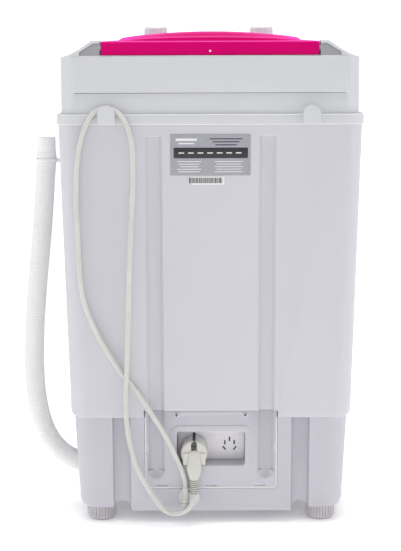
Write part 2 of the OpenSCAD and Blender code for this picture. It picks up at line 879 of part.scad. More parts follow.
module drive_belt() {
    big = driven_r - belt_t + 0.6;
    small = drive_r - belt_t + 0.6;
    color(dark_grey) on_axis(pulley_z + pulley_t / 2 - 1.8) difference() {
        linear_extrude(3.6) belt_path(big + 3.5, small + 3.5);
        translate([0, 0, -1]) linear_extrude(6) belt_path(big, small);
    }
}

module motor_shaft() {
    color(steel) translate([-motor_x, axis_y, pulley_z - 3]) cylinder(r = 5, h = 120);
}

module motor_housing() {
    low = bracket_z + 9;
    ribs = 18;
    color([0.40, 0.42, 0.45]) translate([-motor_x, axis_y, low]) difference() {
        union() {
            cylinder(r = motor_r - 6, h = motor_h);
            translate([0, 0, 22]) cylinder(r = motor_r, h = 34);
            for (k = [0 : ribs - 1])
                rotate(k * 360 / ribs) translate([motor_r - 9, -1, 6]) cube([7, 2, motor_h - 12]);
            for (k = [0 : 3])
                rotate(45 + k * 90) difference() {
                    translate([40, -8, 0]) cube([motor_ear - 32, 16, 5]);
                    translate([motor_ear, 0, -1]) cylinder(r = 3.1, h = 8);
                }
        }
        translate([0, 0, -1]) cylinder(r = 5 + running, h = motor_h + 2);
    }
}

module motor_bracket() {
    color([0.55, 0.56, 0.58]) difference() {
        union() {
            translate([-bracket_half, axis_y - 75, bracket_z]) cube([2 * bracket_half, 150, 3]);
            for (side = [-1, 1])
                translate([-bracket_half, axis_y + side * 74 - 1, bracket_z])
                    cube([2 * bracket_half, 2, 14]);
        }
        on_axis(bracket_z - 1) cylinder(r = 20, h = 10);
        translate([-motor_x, axis_y, bracket_z - 1]) cylinder(r = 26, h = 10);
        for (k = [0 : 3])
            translate([-motor_x, axis_y, bracket_z - 1]) rotate(45 + k * 90)
                translate([motor_ear, 0, 0]) cylinder(r = 6.1, h = 10);
        translate([drain_x, drain_y, bracket_z - 1]) cylinder(r = drain_r + 3, h = 30);
        translate([drain_x, drain_y - drain_r - 3, bracket_z - 1]) cube([150, 60, 30]);
    }
}

module at_motor_feet() {
    for (k = [0 : 3])
        translate([-motor_x, axis_y, bracket_z]) rotate(45 + k * 90)
            translate([motor_ear, 0, 0]) children();
}

module motor_mounts() {
    color(dark_grey) at_motor_feet() difference() {
        union() {
            translate([0, 0, -3]) cylinder(r = 9, h = 2.95);
            translate([0, 0, -0.1]) cylinder(r = 6, h = 4);
            translate([0, 0, 3.05]) cylinder(r = 9, h = 5.9);
        }
        translate([0, 0, -4]) cylinder(r = 3.1, h = 20);
    }
}

module motor_bolts() {
    color(steel) at_motor_feet() union() {
        translate([0, 0, -7]) cylinder(r = 3, h = 21.2);
        translate([0, 0, 14.05]) cylinder(r = 5.5, h = 4, $fn = 6);
        translate([0, 0, -7]) cylinder(r = 5.5, h = 3.95, $fn = 6);
    }
}

module capacitor() {
    color([0.80, 0.80, 0.82]) translate([110, -15, bracket_z + 3.05]) union() {
        cylinder(r = 19, h = 62);
        translate([0, 0, 62]) cylinder(r = 15, h = 3);
        for (x = [-6, 6])
            translate([x - 3, -0.4, 62]) cube([6, 0.8, 11]);
    }
}

// ---------- Drain ----------

module drain_pipe() {
    bend = 22;
    run = spigot_x - 6 - drain_x - bend;
    color(tub_white) difference() {
        drain_solid(bend, run, drain_r);
        drain_solid(bend, run, drain_r - 2.5, 1);
    }
}

// Upright tube, quarter bend and level run
module drain_solid(bend, run, r, over = 0) {
    union() {
        translate([drain_x, drain_y, drain_z + bend])
            cylinder(r = r, h = tub_z - drain_z - bend - 0.05 + over);
        translate([drain_x + bend, drain_y, drain_z + bend]) rotate([-90, 0, 0]) rotate(90)
            rotate_extrude(angle = 90) translate([bend, 0]) circle(r);
        translate([drain_x + bend, drain_y, drain_z]) rod_x(r, run + over);
    }
}

// Places children where the drain turns out through the side wall, X along the hose
module at_spigot() {
    translate([spigot_x, drain_y, drain_z]) rotate([0, -hose_rise, 0]) children();
}

module drain_spigot() {
    color(tub_white) difference() {
        union() {
            translate([spigot_x - 5.9, drain_y, drain_z]) rod_x(hose_d / 2 + 3, 13);
            at_spigot() rod_x(hose_d / 2, spigot_l);
        }
        translate([spigot_x - 10, drain_y, drain_z]) rod_x(spigot_bore, 14);
        at_spigot() rod_x(spigot_bore, spigot_l + 5);
    }
}

module drain_hose() {
    color(hose_white) sweep(hose_route, hose_d / 2, 12);
}

module hose_cuff() {
    top = hose_route[len(hose_route) - 1];
    color(hose_white) translate([top[0], top[1], 0]) difference() {
        union() {
            translate([0, 0, cuff_z + 0.05]) cylinder(r = hose_d / 2 - 0.3, h = 3);
            translate([0, 0, cuff_z + 3]) cylinder(r = hose_d / 2 - 1, h = cuff_top - cuff_z - 3);
        }
        translate([0, 0, cuff_z - 1]) cylinder(r = cuff_bore, h = 40);
    }
}

// Band round the hose, with an arm to the side wall of the casing
module hose_clip() {
    x = hose_route[len(hose_route) - 2][0];
    rise = (clip_z + clip_h - seam_z - shell_chamfer) / (shell_top_z - seam_z - shell_chamfer);
    wall_x = (shell_low_w + rise * (shell_top_w - shell_low_w)) / 2 + 0.05;
    color(hose_white) translate([0, drain_y, clip_z]) difference() {
        union() {
            translate([x, 0, 0]) cylinder(r = hose_d / 2 + 2.2, h = clip_h);
            translate([wall_x, -5, 0]) cube([x - wall_x - hose_d / 2, 10, clip_h]);
        }
        translate([x, 0, -1]) cylinder(r = hose_d / 2 + 0.9, h = clip_h + 2);
    }
}

// ---------- Mains lead ----------

module cord_gland() {
    color(base_white) difference() {
        union() {
            on_base_rear(gland_x, gland_z) translate([0, 0.02, 0]) rod_y(gland_r, gland_t);
            // hood that turns the lead upwards
            translate([hood_x, base_rear_y + hood_out + 0.8, 27]) cylinder(r = 6.5, h = 8);
            on_base_rear(hood_x, 31) translate([-6.5, 0.02, -4]) cube([13, 8, 7.5]);
        }
        on_base_rear(gland_x - 1, gland_z + 9.5) translate([0, 1, 0]) rod_y(1.4, 10);
    }
}

module cord_strain_relief() {
    color(cord_cream) translate([hood_x, base_rear_y + hood_out + 1.2, 35.05]) difference() {
        cylinder(r1 = 5.4, r2 = 4.2, h = 22.9);
        for (z = [5 : 4.5 : 20])
            translate([0, 0, z]) difference() {
                cylinder(r = 7, h = 1.2);
                translate([0, 0, -1]) cylinder(r = 4.3, h = 4);
            }
    }
}

module power_cord() {
    color(cord_cream) sweep(cord_route, cord_d / 2, 8);
}

module plug_body() {
    r = plug_d / 2;
    color(cord_cream) on_base_rear(plug_x) difference() {
        union() {
            translate([0, plug_face, plug_z]) rod_y(r, plug_back - plug_face - 3);
            translate([0, plug_back - 3, plug_z]) rotate([-90, 0, 0])
                cylinder(r1 = r, r2 = r - 4, h = 3);
            // neck along the head and down to the cord
            translate([-10, neck_out - relief_r, neck_low])
                cube([20, 2 * relief_r, plug_z - neck_low]);
            translate([0, neck_out, relief_low])
                cylinder(r1 = relief_r - 1, r2 = relief_r, h = neck_low - relief_low + 1);
        }
        // channel of the earth clip
        translate([-2, plug_face - 1, plug_z + 8]) cube([4, 60, 20]);
        for (z = [relief_low + 4 : 4 : neck_low - 3])
            translate([0, neck_out, z]) difference() {
                cylinder(r = 9, h = 1.2);
                translate([0, 0, -1]) cylinder(r = 4.6, h = 4);
            }
        for (side = [-1, 1])
            translate([side * pin_gap / 2, plug_face - 1, plug_z - 2]) rod_y(pin_r + 0.02, 12);
    }
}

module plug_pins() {
    color(steel) on_base_rear(plug_x) union() {
        for (side = [-1, 1])
            translate([side * pin_gap / 2, -recess_depth - 16, plug_z - 2])
                rod_y(pin_r, 16 + recess_depth + plug_face + 8);
    }
}

base();
foot_front_left();
foot_front_right();
foot_rear_left();
foot_rear_right();
body_shell();
top_cover();
control_panel();
rear_access_panel();
access_panel_screws();
parking_plate();
rating_label();
barcode_sticker();
cord_hook_left();
cord_hook_right();
lid();
hinge_cap_left();
hinge_cap_right();
hinge_pin_left();
hinge_pin_right();
wash_timer();
wash_timer_shaft();
wash_timer_knob();
mode_switch();
mode_switch_shaft();
mode_knob();
wash_tub();
lint_filter();
pulsator();
pulsator_bolt();
spin_basket();
drive_shaft();
shaft_seal();
upper_bush();
lower_bush();
bearing_housing();
driven_pulley();
drive_belt();
motor_pulley();
motor_shaft();
motor_housing();
motor_bracket();
motor_mounts();
motor_bolts();
capacitor();
drain_pipe();
drain_spigot();
drain_hose();
hose_cuff();
hose_clip();
cord_gland();
cord_strain_relief();
power_cord();
plug_body();
plug_pins();
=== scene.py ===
import math

import bmesh
import bpy
from mathutils import Euler, Matrix, Vector


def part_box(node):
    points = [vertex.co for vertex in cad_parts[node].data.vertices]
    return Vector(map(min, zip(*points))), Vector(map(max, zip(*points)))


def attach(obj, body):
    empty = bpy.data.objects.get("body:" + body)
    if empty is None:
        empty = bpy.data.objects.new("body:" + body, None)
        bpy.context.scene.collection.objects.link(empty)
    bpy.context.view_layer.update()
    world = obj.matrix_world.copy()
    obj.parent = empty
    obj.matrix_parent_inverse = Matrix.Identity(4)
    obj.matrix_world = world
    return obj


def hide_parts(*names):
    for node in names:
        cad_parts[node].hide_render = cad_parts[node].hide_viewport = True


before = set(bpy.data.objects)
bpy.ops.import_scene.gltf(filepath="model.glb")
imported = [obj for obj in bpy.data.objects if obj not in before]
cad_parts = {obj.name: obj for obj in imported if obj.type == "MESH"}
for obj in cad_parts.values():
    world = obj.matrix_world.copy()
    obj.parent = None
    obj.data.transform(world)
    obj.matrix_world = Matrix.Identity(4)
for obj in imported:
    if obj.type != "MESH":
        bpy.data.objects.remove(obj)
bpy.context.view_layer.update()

MM = 0.001
ROLL = -0.2


# ---------- camera ----------

def make_camera():
    data = bpy.data.cameras.new("camera")
    data.lens = 85.6
    data.sensor_width = 36.0
    data.clip_start, data.clip_end = 0.05, 60.0
    cam = bpy.data.objects.new("camera", data)
    cam.location = (0.0146, 2.0614, 0.6806)
    turn = Euler((math.radians(90 - 9.299), 0.0, math.radians(180))).to_matrix()
    cam.rotation_euler = (turn @ Euler((0.0, 0.0, math.radians(ROLL))).to_matrix()).to_euler()
    bpy.context.scene.collection.objects.link(cam)
    bpy.context.scene.camera = cam


# ---------- mesh helpers ----------

def new_object(name, mesh, body, slot, *nodes):
    obj = bpy.data.objects.new(name, mesh)
    bpy.context.scene.collection.objects.link(obj)
    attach(obj, body)
    if nodes:
        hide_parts(*nodes)
    return obj


def mesh_from(name, verts, faces, smooth=True):
    mesh = bpy.data.meshes.new(name)
    mesh.from_pydata([tuple(v) for v in verts], [], faces)
    mesh.validate()
    bm = bmesh.new()
    bm.from_mesh(mesh)
    bmesh.ops.recalc_face_normals(bm, faces=bm.faces)
    bm.to_mesh(mesh)
    bm.free()
    for p in mesh.polygons:
        p.use_smooth = smooth
    return mesh


def spline_points(points, per):
    """Catmull-Rom points through a list of points, per of them for each step."""
    pts = [Vector(p) for p in points]
    ends = [pts[0] * 2 - pts[1]] + pts + [pts[-1] * 2 - pts[-2]]
    out = []
    for i in range(1, len(ends) - 2):
        a, b, c, d = ends[i - 1:i + 3]
        for k in range(per):
            t = k / per
            out.append(0.5 * (2 * b + (c - a) * t + (2 * a - 5 * b + 4 * c - d) * t * t
                              + (3 * b - a - 3 * c + d) * t ** 3))
    out.append(pts[-1])
    return out


def resample(points, step):
    """Points at an even distance along a polyline."""
    total = sum((b - a).length for a, b in zip(points, points[1:]))
    count = max(2, round(total / step))
    gap = total / count
    out, need, travelled = [points[0].copy()], gap, 0.0
    for a, b in zip(points, points[1:]):
        seg = (b - a).length
        while travelled + seg >= need - 1e-9 and len(out) < count:
            out.append(a.lerp(b, (need - travelled) / seg))
            need += gap
        travelled += seg
    out.append(points[-1].copy())
    return out


def tube(points, radius_at, sides, side=Vector((0, 1, 0))):
    """Vertices and faces of a closed tube along points, its radius given by index."""
    verts, faces = [], []
    last = len(points) - 1
    for i, p in enumerate(points):
        t = (points[min(i + 1, last)] - points[max(i - 1, 0)]).normalized()
        u = t.cross(side).normalized()
        v = t.cross(u)
        r = radius_at(i)
        for k in range(sides):
            a = math.tau * k / sides
            verts.append(p + (u * math.cos(a) + v * math.sin(a)) * r)
    for i in range(last):
        for k in range(sides):
            a, b = i * sides + k, i * sides + (k + 1) % sides
            faces.append((a, b, b + sides, a + sides))
    faces.append(tuple(range(sides))[::-1])
    faces.append(tuple(last * sides + k for k in range(sides)))
    return verts, faces


def joined(parts):
    """One list of vertices and faces from several."""
    verts, faces = [], []
    for v, f in parts:
        start = len(verts)
        verts += [Vector(p) for p in v]
        faces += [tuple(i + start for i in face) for face in f]
    return verts, faces


def moved(part, matrix):
    return [matrix @ Vector(v) for v in part[0]], part[1]


def lofted(rings):
    """Closed solid through rings that all have the same number of points."""
    count = len(rings[0])
    verts = [Vector(p) for ring in rings for p in ring]
    faces = [(i * count + k, i * count + (k + 1) % count,
              (i + 1) * count + (k + 1) % count, (i + 1) * count + k)
             for i in range(len(rings) - 1) for k in range(count)]
    faces.append(tuple(range(count))[::-1])
    faces.append(tuple((len(rings) - 1) * count + k for k in range(count)))
    return verts, faces


def lathe(profile, sides, wave=None):
    """Solid of revolution about Z; wave(angle) scales the depth of flutes given per ring."""
    rings = []
    for ring in profile:
        r, z = ring[0], ring[1]
        cut = ring[2] if len(ring) > 2 else 0.0
        row = []
        for k in range(sides):
            a = math.tau * k / sides
            q = r - (cut * wave(a) if wave else 0.0)
            row.append((q * math.cos(a), q * math.sin(a), z))
        rings.append(row)
    return lofted(rings)


def bushing(r_in, r_out, z0, z1, sides=32):
    """Closed ring about Z."""
    verts, faces = [], []
    for k in range(sides):
        a = math.tau * k / sides
        for r, z in ((r_in, z0), (r_out, z0), (r_out, z1), (r_in, z1)):
            verts.append((r * math.cos(a), r * math.sin(a), z))
    for k in range(sides):
        n = (k + 1) % sides
        for j in range(4):
            m = (j + 1) % 4
            faces.append((4 * k + j, 4 * k + m, 4 * n + m, 4 * n + j))
    return verts, faces


def rounded_ring(w, d, r, z, per=8, y=0.0):
    """Points of a rounded rectangle at a height."""
    r = max(0.00001, min(r, w / 2, d / 2))
    ring = []
    for q, (sx, sy) in enumerate(((1, 1), (-1, 1), (-1, -1), (1, -1))):
        for k in range(per + 1):
            a = math.pi / 2 * (q + k / per)
            ring.append((sx * (w / 2 - r) + r * math.cos(a), y + sy * (d / 2 - r) + r * math.sin(a), z))
    return ring


def pillow(w, d, h, edge, r):
    """Rounded block standing on the origin with all its upper and lower edges eased."""
    rings = []
    steps = [math.radians(a) for a in (0, 30, 60, 90)]
    for a in steps:
        q = edge * (1 - math.sin(a))
        rings.append(rounded_ring(w - 2 * q, d - 2 * q, max(r - q, edge / 4), edge * (1 - math.cos(a))))
    for a in reversed(steps):
        q = edge * (1 - math.sin(a))
        rings.append(rounded_ring(w - 2 * q, d - 2 * q, max(r - q, edge / 4), h - edge * (1 - math.cos(a))))
    return lofted(rings)


def prism(outline, depth, ease):
    """Outline in X and Z carried from Y = -depth to Y = 0, its rear edge eased."""
    area = sum(a[0] * b[1] - b[0] * a[1] for a, b in zip(outline, outline[1:] + outline[:1]))
    if area < 0:
        outline = outline[::-1]

    def inset(amount):
        n = len(outline)
        ring = []
        for i in range(n):
            a, b, c = Vector(outline[i - 1]), Vector(outline[i]), Vector(outline[(i + 1) % n])
            u, v = (b - a).normalized(), (c - b).normalized()
            across = Vector((-(u + v).y, (u + v).x)).normalized()
            grow = amount / max(0.5, across.dot(Vector((-u.y, u.x))))
            ring.append(b + across * grow)
        return ring

    rings = [[(p[0], -depth, p[1]) for p in outline]]
    for angle in (0, 22.5, 45, 67.5, 90):
        a = math.radians(angle)
        rings.append([(p[0], -ease * (1 - math.sin(a)), p[1])
                      for p in inset(ease * (1 - math.cos(a)))])
    return lofted(rings)


# ---------- cords ----------

CORD_ROUTE = [
    (38, 198.5, 58), (38.5, 199, 68), (43, 200, 84), (53, 202, 108), (65, 203, 134),
    (78, 204, 157), (92, 206, 180), (106, 207, 202), (120, 207, 221), (135, 208, 242),
    (150, 209, 266), (164, 209, 292), (175, 210, 318), (183, 211, 344), (187, 212, 378),
    (188.5, 213, 415), (189.5, 214, 452), (190, 214, 490), (189, 215, 525), (186, 215, 552),
    (181.5, 215, 573), (176.5, 215.6, 588), (171.5, 215.6, 599), (164.5, 215.6, 608),
    (156, 215.6, 613.2), (146.3, 215.6, 615), (136.5, 215.6, 613.2), (128, 215.6, 608),
    (121, 215.6, 599), (116, 215.6, 588), (112, 216, 573), (109.5, 217, 554), (109, 219, 528),
    (110, 219, 495), (112.5, 219, 455), (115, 218, 405), (117.5, 217, 345), (120, 216, 280),
    (122, 215, 235), (123.5, 214, 205), (123.5, 213, 175), (121.5, 210, 147),
    (117.5, 209, 122), (110.5, 208.5, 96), (101.5, 208, 75), (91, 208, 57),
    (84.5, 208.5, 46.5), (77, 209, 35.5), (70, 209.4, 27.6), (62, 209.6, 22.9),
    (53, 209.6, 21.2), (44.2, 209.2, 22.4), (36.3, 208.8, 26.2), (30, 206.4, 32.9),
    (26.8, 202.8, 41.5), (25.2, 200.2, 49.5),
]
HOSE_ROUTE = [
    (179, 110, 63.3), (191, 110, 68.1), (203, 110, 73), (212, 110, 76.9), (220.5, 110, 81.6),
    (228.5, 110, 87.7), (236, 110, 95), (243, 110, 104), (249, 110, 114), (254, 110, 125),
    (258.3, 110, 138), (261.8, 110, 152), (264.6, 110, 168), (266.6, 110, 186),
    (267.9, 110, 208), (268.2, 110, 231), (267.6, 110, 255), (265.8, 110, 290),
    (262.5, 110, 330), (258.6, 110, 368), (254, 110, 410), (250.5, 110, 445),
    (247.6, 110, 480), (245, 110, 512), (243.8, 110, 526), (243, 110, 538),
    (243, 110, 545),
]
CORD_D = 0.007
HOSE_D = 0.030


def make_power_cord():
    route = spline_points([Vector(p) * MM for p in CORD_ROUTE], 6)
    obj = new_object("mains_lead", mesh_from("mains_lead", *tube(route, lambda i: CORD_D / 2, 20)),
                     "cabinet", "cord_cream", "power_cord")
    return obj


def make_hose():
    pitch, rows, sides = 0.0030, 6, 40
    line = resample(spline_points([Vector(p) * MM for p in HOSE_ROUTE], 12), pitch / rows)
    last = len(line) - 1

    def radius_at(i):
        # plain cuffs at both ends, ribs between them
        along = min(i, last - i) / rows
        plain = 1.0 if along < 4 else max(0.0, 1.0 - (along - 4))
        rib = 0.5 - 0.5 * math.cos(math.tau * i / rows)
        return HOSE_D / 2 - 0.0001 - 0.0009 * (1 - plain) * (1 - rib ** 0.6)

    obj = new_object("drain_hose_ribbed", mesh_from("drain_hose_ribbed",
                     *tube(line, radius_at, sides)), "cabinet", "hose_white", "drain_hose")
    return obj


# ---------- materials ----------

class Shader:
    """Short way to build one node material on object coordinates."""

    def __init__(self, name):
        self.mat = bpy.data.materials.new(name)
        self.mat.use_nodes = True
        self.tree = self.mat.node_tree
        self.bsdf = self.tree.nodes["Principled BSDF"]
        self.coords = self.add("ShaderNodeTexCoord").outputs["Object"]

    def add(self, kind, **values):
        node = self.tree.nodes.new(kind)
        for key, value in values.items():
            if hasattr(node, key):
                setattr(node, key, value)
            else:
                self.put(node.inputs[key.replace("_", " ")], value)
        return node

    def put(self, socket, value):
        if isinstance(value, bpy.types.NodeSocket):
            self.tree.links.new(value, socket)
        else:
            socket.default_value = value

    def noise(self, scale, detail=2.0, rough=0.5, vector=None):
        node = self.add("ShaderNodeTexNoise")
        self.put(node.inputs["Vector"], vector or self.coords)
        node.inputs["Scale"].default_value = scale
        node.inputs["Detail"].default_value = detail
        node.inputs["Roughness"].default_value = rough
        return node.outputs["Fac"]

    def scaled(self, x, y, z):
        node = self.add("ShaderNodeMapping")
        self.put(node.inputs["Vector"], self.coords)
        node.inputs["Scale"].default_value = (x, y, z)
        return node.outputs["Vector"]

    def map(self, value, a, b, c, d):
        node = self.add("ShaderNodeMapRange")
        self.put(node.inputs["Value"], value)
        for key, v in zip(("From Min", "From Max", "To Min", "To Max"), (a, b, c, d)):
            self.put(node.inputs[key], v)
        return node.outputs["Result"]

    def math(self, operation, a, b=None):
        node = self.add("ShaderNodeMath")
        node.operation = operation
        self.put(node.inputs[0], a)
        if b is not None:
            self.put(node.inputs[1], b)
        return node.outputs[0]

    def mix(self, fac, a, b, kind="MIX"):
        node = self.add("ShaderNodeMix")
        node.data_type = "RGBA"
        node.blend_type = kind
        self.put(node.inputs["Factor"], fac)
        self.put(node.inputs["A"], a)
        self.put(node.inputs["B"], b)
        return node.outputs["Result"]

    def bump(self, height, strength, distance, normal=None):
        node = self.add("ShaderNodeBump")
        self.put(node.inputs["Height"], height)
        node.inputs["Strength"].default_value = strength
        node.inputs["Distance"].default_value = distance
        if normal is not None:
            self.put(node.inputs["Normal"], normal)
        return node.outputs["Normal"]

    def rounded(self, radius):
        node = self.add("ShaderNodeBevel")
        node.samples = 4
        node.inputs["Radius"].default_value = radius
        return node.outputs["Normal"]

    def crevice(self, distance, inside=False):
        node = self.add("ShaderNodeAmbientOcclusion")
        node.samples = 8
        node.inside = inside
        node.inputs["Distance"].default_value = distance
        return node.outputs["AO"]

    def set(self, **values):
        for key, value in values.items():
            self.put(self.bsdf.inputs[key.replace("_", " ")], value)
        return self.mat


def rgba(r, g, b):
    return (r, g, b, 1.0)


def srgb(text):
    """Linear colour of a hex code."""
    parts = [int(text[i:i + 2], 16) / 255 for i in (0, 2, 4)]
    return rgba(*[p / 12.92 if p <= 0.04045 else ((p + 0.055) / 1.055) ** 2.4 for p in parts])


def scale_colour(colour, k):
    return rgba(*[min(1.0, c * k) for c in colour[:3]])


def moulded(name, colour, rough=0.42, grain=0.12, radius=0.0012, corner_shade=0.06, corner_shade_reach=0.012,
            sheen=0.5, gap_shade=0.6, rim=0.0):
    """Moulded plastic: cloudy colour, fine grain, painted shade in corners, painted shade lines in tight gaps and
    painted highlights on edges.
    """
    s = Shader(name)
    cloud = s.map(s.noise(7.0, 3.0), 0.3, 0.7, 0.0, 1.0)
    base = s.mix(cloud, scale_colour(colour, 0.985), scale_colour(colour, 1.015))
    # painted shade: darker towards a dimmed copy of the colour in corners and recesses, by ambient occlusion
    corner = s.map(s.crevice(corner_shade_reach), 0.35, 0.9, corner_shade, 0.0)
    base = s.mix(corner, base, scale_colour(colour, 0.45))
    # painted shade: dark lines in tight gaps and under overhangs, by short-reach occlusion
    if gap_shade:
        line = s.map(s.crevice(0.0026), 0.25, 0.85, gap_shade, 0.0)
        base = s.mix(line, base, scale_colour(colour, 0.2))
    # painted highlight: near-white lines along convex edges, by inside occlusion
    if rim:
        edge = s.map(s.crevice(0.0015, inside=True), 0.50, 0.84, rim, 0.0)
        base = s.mix(edge, base, rgba(0.98, 0.98, 1.0))
    height = s.math("ADD", s.noise(1500.0, 1.0), s.math("MULTIPLY", s.noise(60.0, 2.0), 0.6))
    normal = s.bump(height, grain, 0.0002, s.rounded(radius) if radius else None)
    roughness = s.map(s.noise(35.0, 4.0), 0.3, 0.7, rough - 0.05, rough + 0.05)
    return s.set(Base_Color=base, Roughness=roughness, Normal=normal, Specular_IOR_Level=sheen)


def rubber(name, colour, rough=0.6, radius=0.0008):
    s = Shader(name)
    base = s.mix(s.map(s.noise(40.0, 4.0), 0.3, 0.7, 0.0, 1.0),
                 scale_colour(colour, 0.95), scale_colour(colour, 1.04))
    # painted shade: darker towards a dimmed copy of the colour in corners and recesses, by ambient occlusion
    corner = s.map(s.crevice(0.006), 0.35, 0.9, 0.25, 0.0)
    base = s.mix(corner, base, scale_colour(colour, 0.4))
    normal = s.bump(s.noise(900.0, 3.0), 0.25, 0.0003, s.rounded(radius))
    return s.set(Base_Color=base, Roughness=s.map(s.noise(60.0, 3.0), 0.3, 0.7, rough - 0.08, rough + 0.08),
                 Normal=normal, Specular_IOR_Level=0.4)


def metal(name, colour, rough=0.32, stretch=(1.0, 1.0, 30.0), radius=0.0005, metallic=1.0):
    """Plated or brushed metal: streaks along one direction and cloudy patches."""
    s = Shader(name)
    streak = s.noise(300.0, 3.0, vector=s.scaled(*stretch))
    patch = s.noise(55.0, 4.0)
    base = s.mix(s.map(patch, 0.35, 0.65, 0.0, 1.0), scale_colour(colour, 0.88), scale_colour(colour, 1.08))
    roughness = s.map(s.math("ADD", streak, patch), 0.6, 1.4, rough - 0.1, rough + 0.12)
    normal = s.bump(streak, 0.15, 0.0002, s.rounded(radius))
    return s.set(Base_Color=base, Metallic=metallic, Roughness=roughness, Normal=normal)


def gloss(name, colour, rough=0.12, radius=0.001, depth=0.5, shine=0.5, edge=None):
    """Glossy tinted plastic; an edge colour, if given, is mixed in where the surface turns away from view, a
    painted sheen.
    """
    s = Shader(name)
    cloud = s.map(s.noise(9.0, 2.0), 0.3, 0.7, 0.0, 1.0)
    base = s.mix(cloud, scale_colour(colour, 0.96), scale_colour(colour, 1.03))
    if edge:
        # painted sheen: the edge colour mixed in at grazing angles
        grazing_sheen_mask = s.add("ShaderNodeLayerWeight", Blend=0.5).outputs["Facing"]
        base = s.mix(s.map(grazing_sheen_mask, 0.12, 0.60, 0.0, 0.95), base, edge)
    normal = s.bump(s.noise(140.0, 2.0), 0.04, 0.0003, s.rounded(radius))
    roughness = s.map(s.noise(50.0, 4.0), 0.3, 0.7, rough - 0.03, rough + 0.05)
    return s.set(Base_Color=base, Roughness=roughness, Normal=normal, Coat_Weight=depth,
                 Coat_Roughness=0.06, Specular_IOR_Level=shine)


def make_materials():
    m = {
        # The moulded plastics below carry painted shade in corners and gaps and painted highlights along edges.
        "shell_white": moulded("shell_plastic", srgb("D2D1D8"), corner_shade=0.02, rim=0.9),
        "base_white": moulded("base_plastic", srgb("CCCAD3"), corner_shade=0.03, rim=0.5),
        "cover_white": moulded("cover_plastic", srgb("D6D7DB"), corner_shade=0.02, rim=0.9),
        # painted light: a lighter copy of the base plastic for the plate inside the recess, against the shade there
        "plate": moulded("plate_plastic", srgb("FBF9FD"), corner_shade=0.0),
        # the lighter violet-pink edge colour of the lid is a painted sheen
        "lid_pink": gloss("lid_plastic", srgb("D8006E"), rough=0.32, depth=0.0, shine=0.08,
                          edge=srgb("FF50C8")),
        "cap_grey": moulded("cap_plastic", srgb("A2A2A6"), radius=0.0008, rim=0.3),
        "foot_grey": rubber("foot_rubber", srgb("D4D0D4")),
        "label_grey": moulded("label_film", srgb("A8A8B2"), rough=0.3, grain=0.05, radius=0.0003),
        "sticker_white": moulded("sticker_paper", srgb("F0F0F0"), rough=0.6, grain=0.1, radius=0.0003),
        "cord_cream": rubber("cord_pvc", srgb("DADAD4"), rough=0.42),
        "plug_white": moulded("plug_plastic", srgb("D8D7D0"), rough=0.42, radius=0.0005, corner_shade=0.25, corner_shade_reach=0.005),
        "hose_white": moulded("hose_plastic", srgb("F6F6F5"), rough=0.5, radius=0.0002, corner_shade=0.12, corner_shade_reach=0.003),
        "tub_white": gloss("tub_enamel", srgb("E4E6E8"), rough=0.18),
        "knob_white": gloss("knob_plastic", srgb("E6E6E8"), rough=0.2),
        "steel": metal("zinc_steel", rgba(0.62, 0.63, 0.66)),
        "bronze": metal("sintered_bronze", rgba(0.62, 0.40, 0.18), rough=0.45),
        "black_rubber": rubber("black_rubber", rgba(0.03, 0.03, 0.032)),
        "dark_plastic": moulded("dark_plastic", rgba(0.05, 0.05, 0.055), rough=0.45, radius=0.0006),
        "casting": metal("cast_alloy", rgba(0.45, 0.46, 0.48), rough=0.5, stretch=(1.0, 1.0, 1.0)),
        "motor_grey": metal("motor_enamel", rgba(0.12, 0.13, 0.14), rough=0.4, metallic=0.2),
        "bracket_zinc": metal("zinc_sheet", rgba(0.5, 0.52, 0.54), rough=0.35, stretch=(20.0, 1.0, 1.0)),
        # near-white material of the edge beads, the gland disc and the lid's gate mark: painted highlight
        "rim": moulded("rim_plastic", srgb("F8F8FA"), corner_shade=0.03, radius=0.0004),
        "screw": metal("blued_zinc", rgba(0.62, 0.72, 0.80), rough=0.3, metallic=0.6),
        "ink": moulded("label_ink", rgba(0.03, 0.03, 0.035), rough=0.35, grain=0.03, radius=0),
        "capacitor_shell": metal("drawn_can", rgba(0.7, 0.71, 0.73), rough=0.25),
    }
    return m


NODE_SLOTS = {
    "base": "base_white", "foot_": "foot_grey", "body_shell": "shell_white", "top_cover": "cover_white",
    "control_panel": "cover_white", "rear_access_panel": "base_white", "access_panel_screws": "steel",
    "parking_plate": "base_white", "rating_label": "label_grey", "barcode_sticker": "sticker_white",
    "cord_hook_": "cover_white", "lid": "lid_pink", "hinge_cap_": "cap_grey", "hinge_pin_": "steel",
    "wash_timer_shaft": "steel", "wash_timer_knob": "knob_white", "wash_timer": "dark_plastic",
    "mode_switch_shaft": "steel", "mode_switch": "dark_plastic", "mode_knob": "knob_white",
    "wash_tub": "tub_white", "lint_filter": "hose_white", "pulsator_bolt": "steel",
    "pulsator": "tub_white", "spin_basket": "tub_white", "drive_shaft": "steel",
    "shaft_seal": "black_rubber", "upper_bush": "bronze", "lower_bush": "bronze",
    "bearing_housing": "casting", "driven_pulley": "casting", "drive_belt": "black_rubber",
    "motor_pulley": "casting", "motor_shaft": "steel", "motor_housing": "motor_grey",
    "motor_bracket": "bracket_zinc", "motor_mounts": "black_rubber", "motor_bolts": "steel",
    "capacitor": "capacitor_shell", "drain_pipe": "tub_white", "drain_spigot": "tub_white",
    "drain_hose": "hose_white", "hose_cuff": "hose_white", "hose_clip": "hose_white",
    "cord_gland": "base_white", "cord_strain_relief": "cord_cream", "power_cord": "cord_cream",
    "plug_body": "plug_white", "plug_pins": "steel",
}


def slot_of(node):
    found = [k for k in NODE_SLOTS if node == k or (k.endswith("_") and node.startswith(k))]
    return NODE_SLOTS[max(found, key=len)]


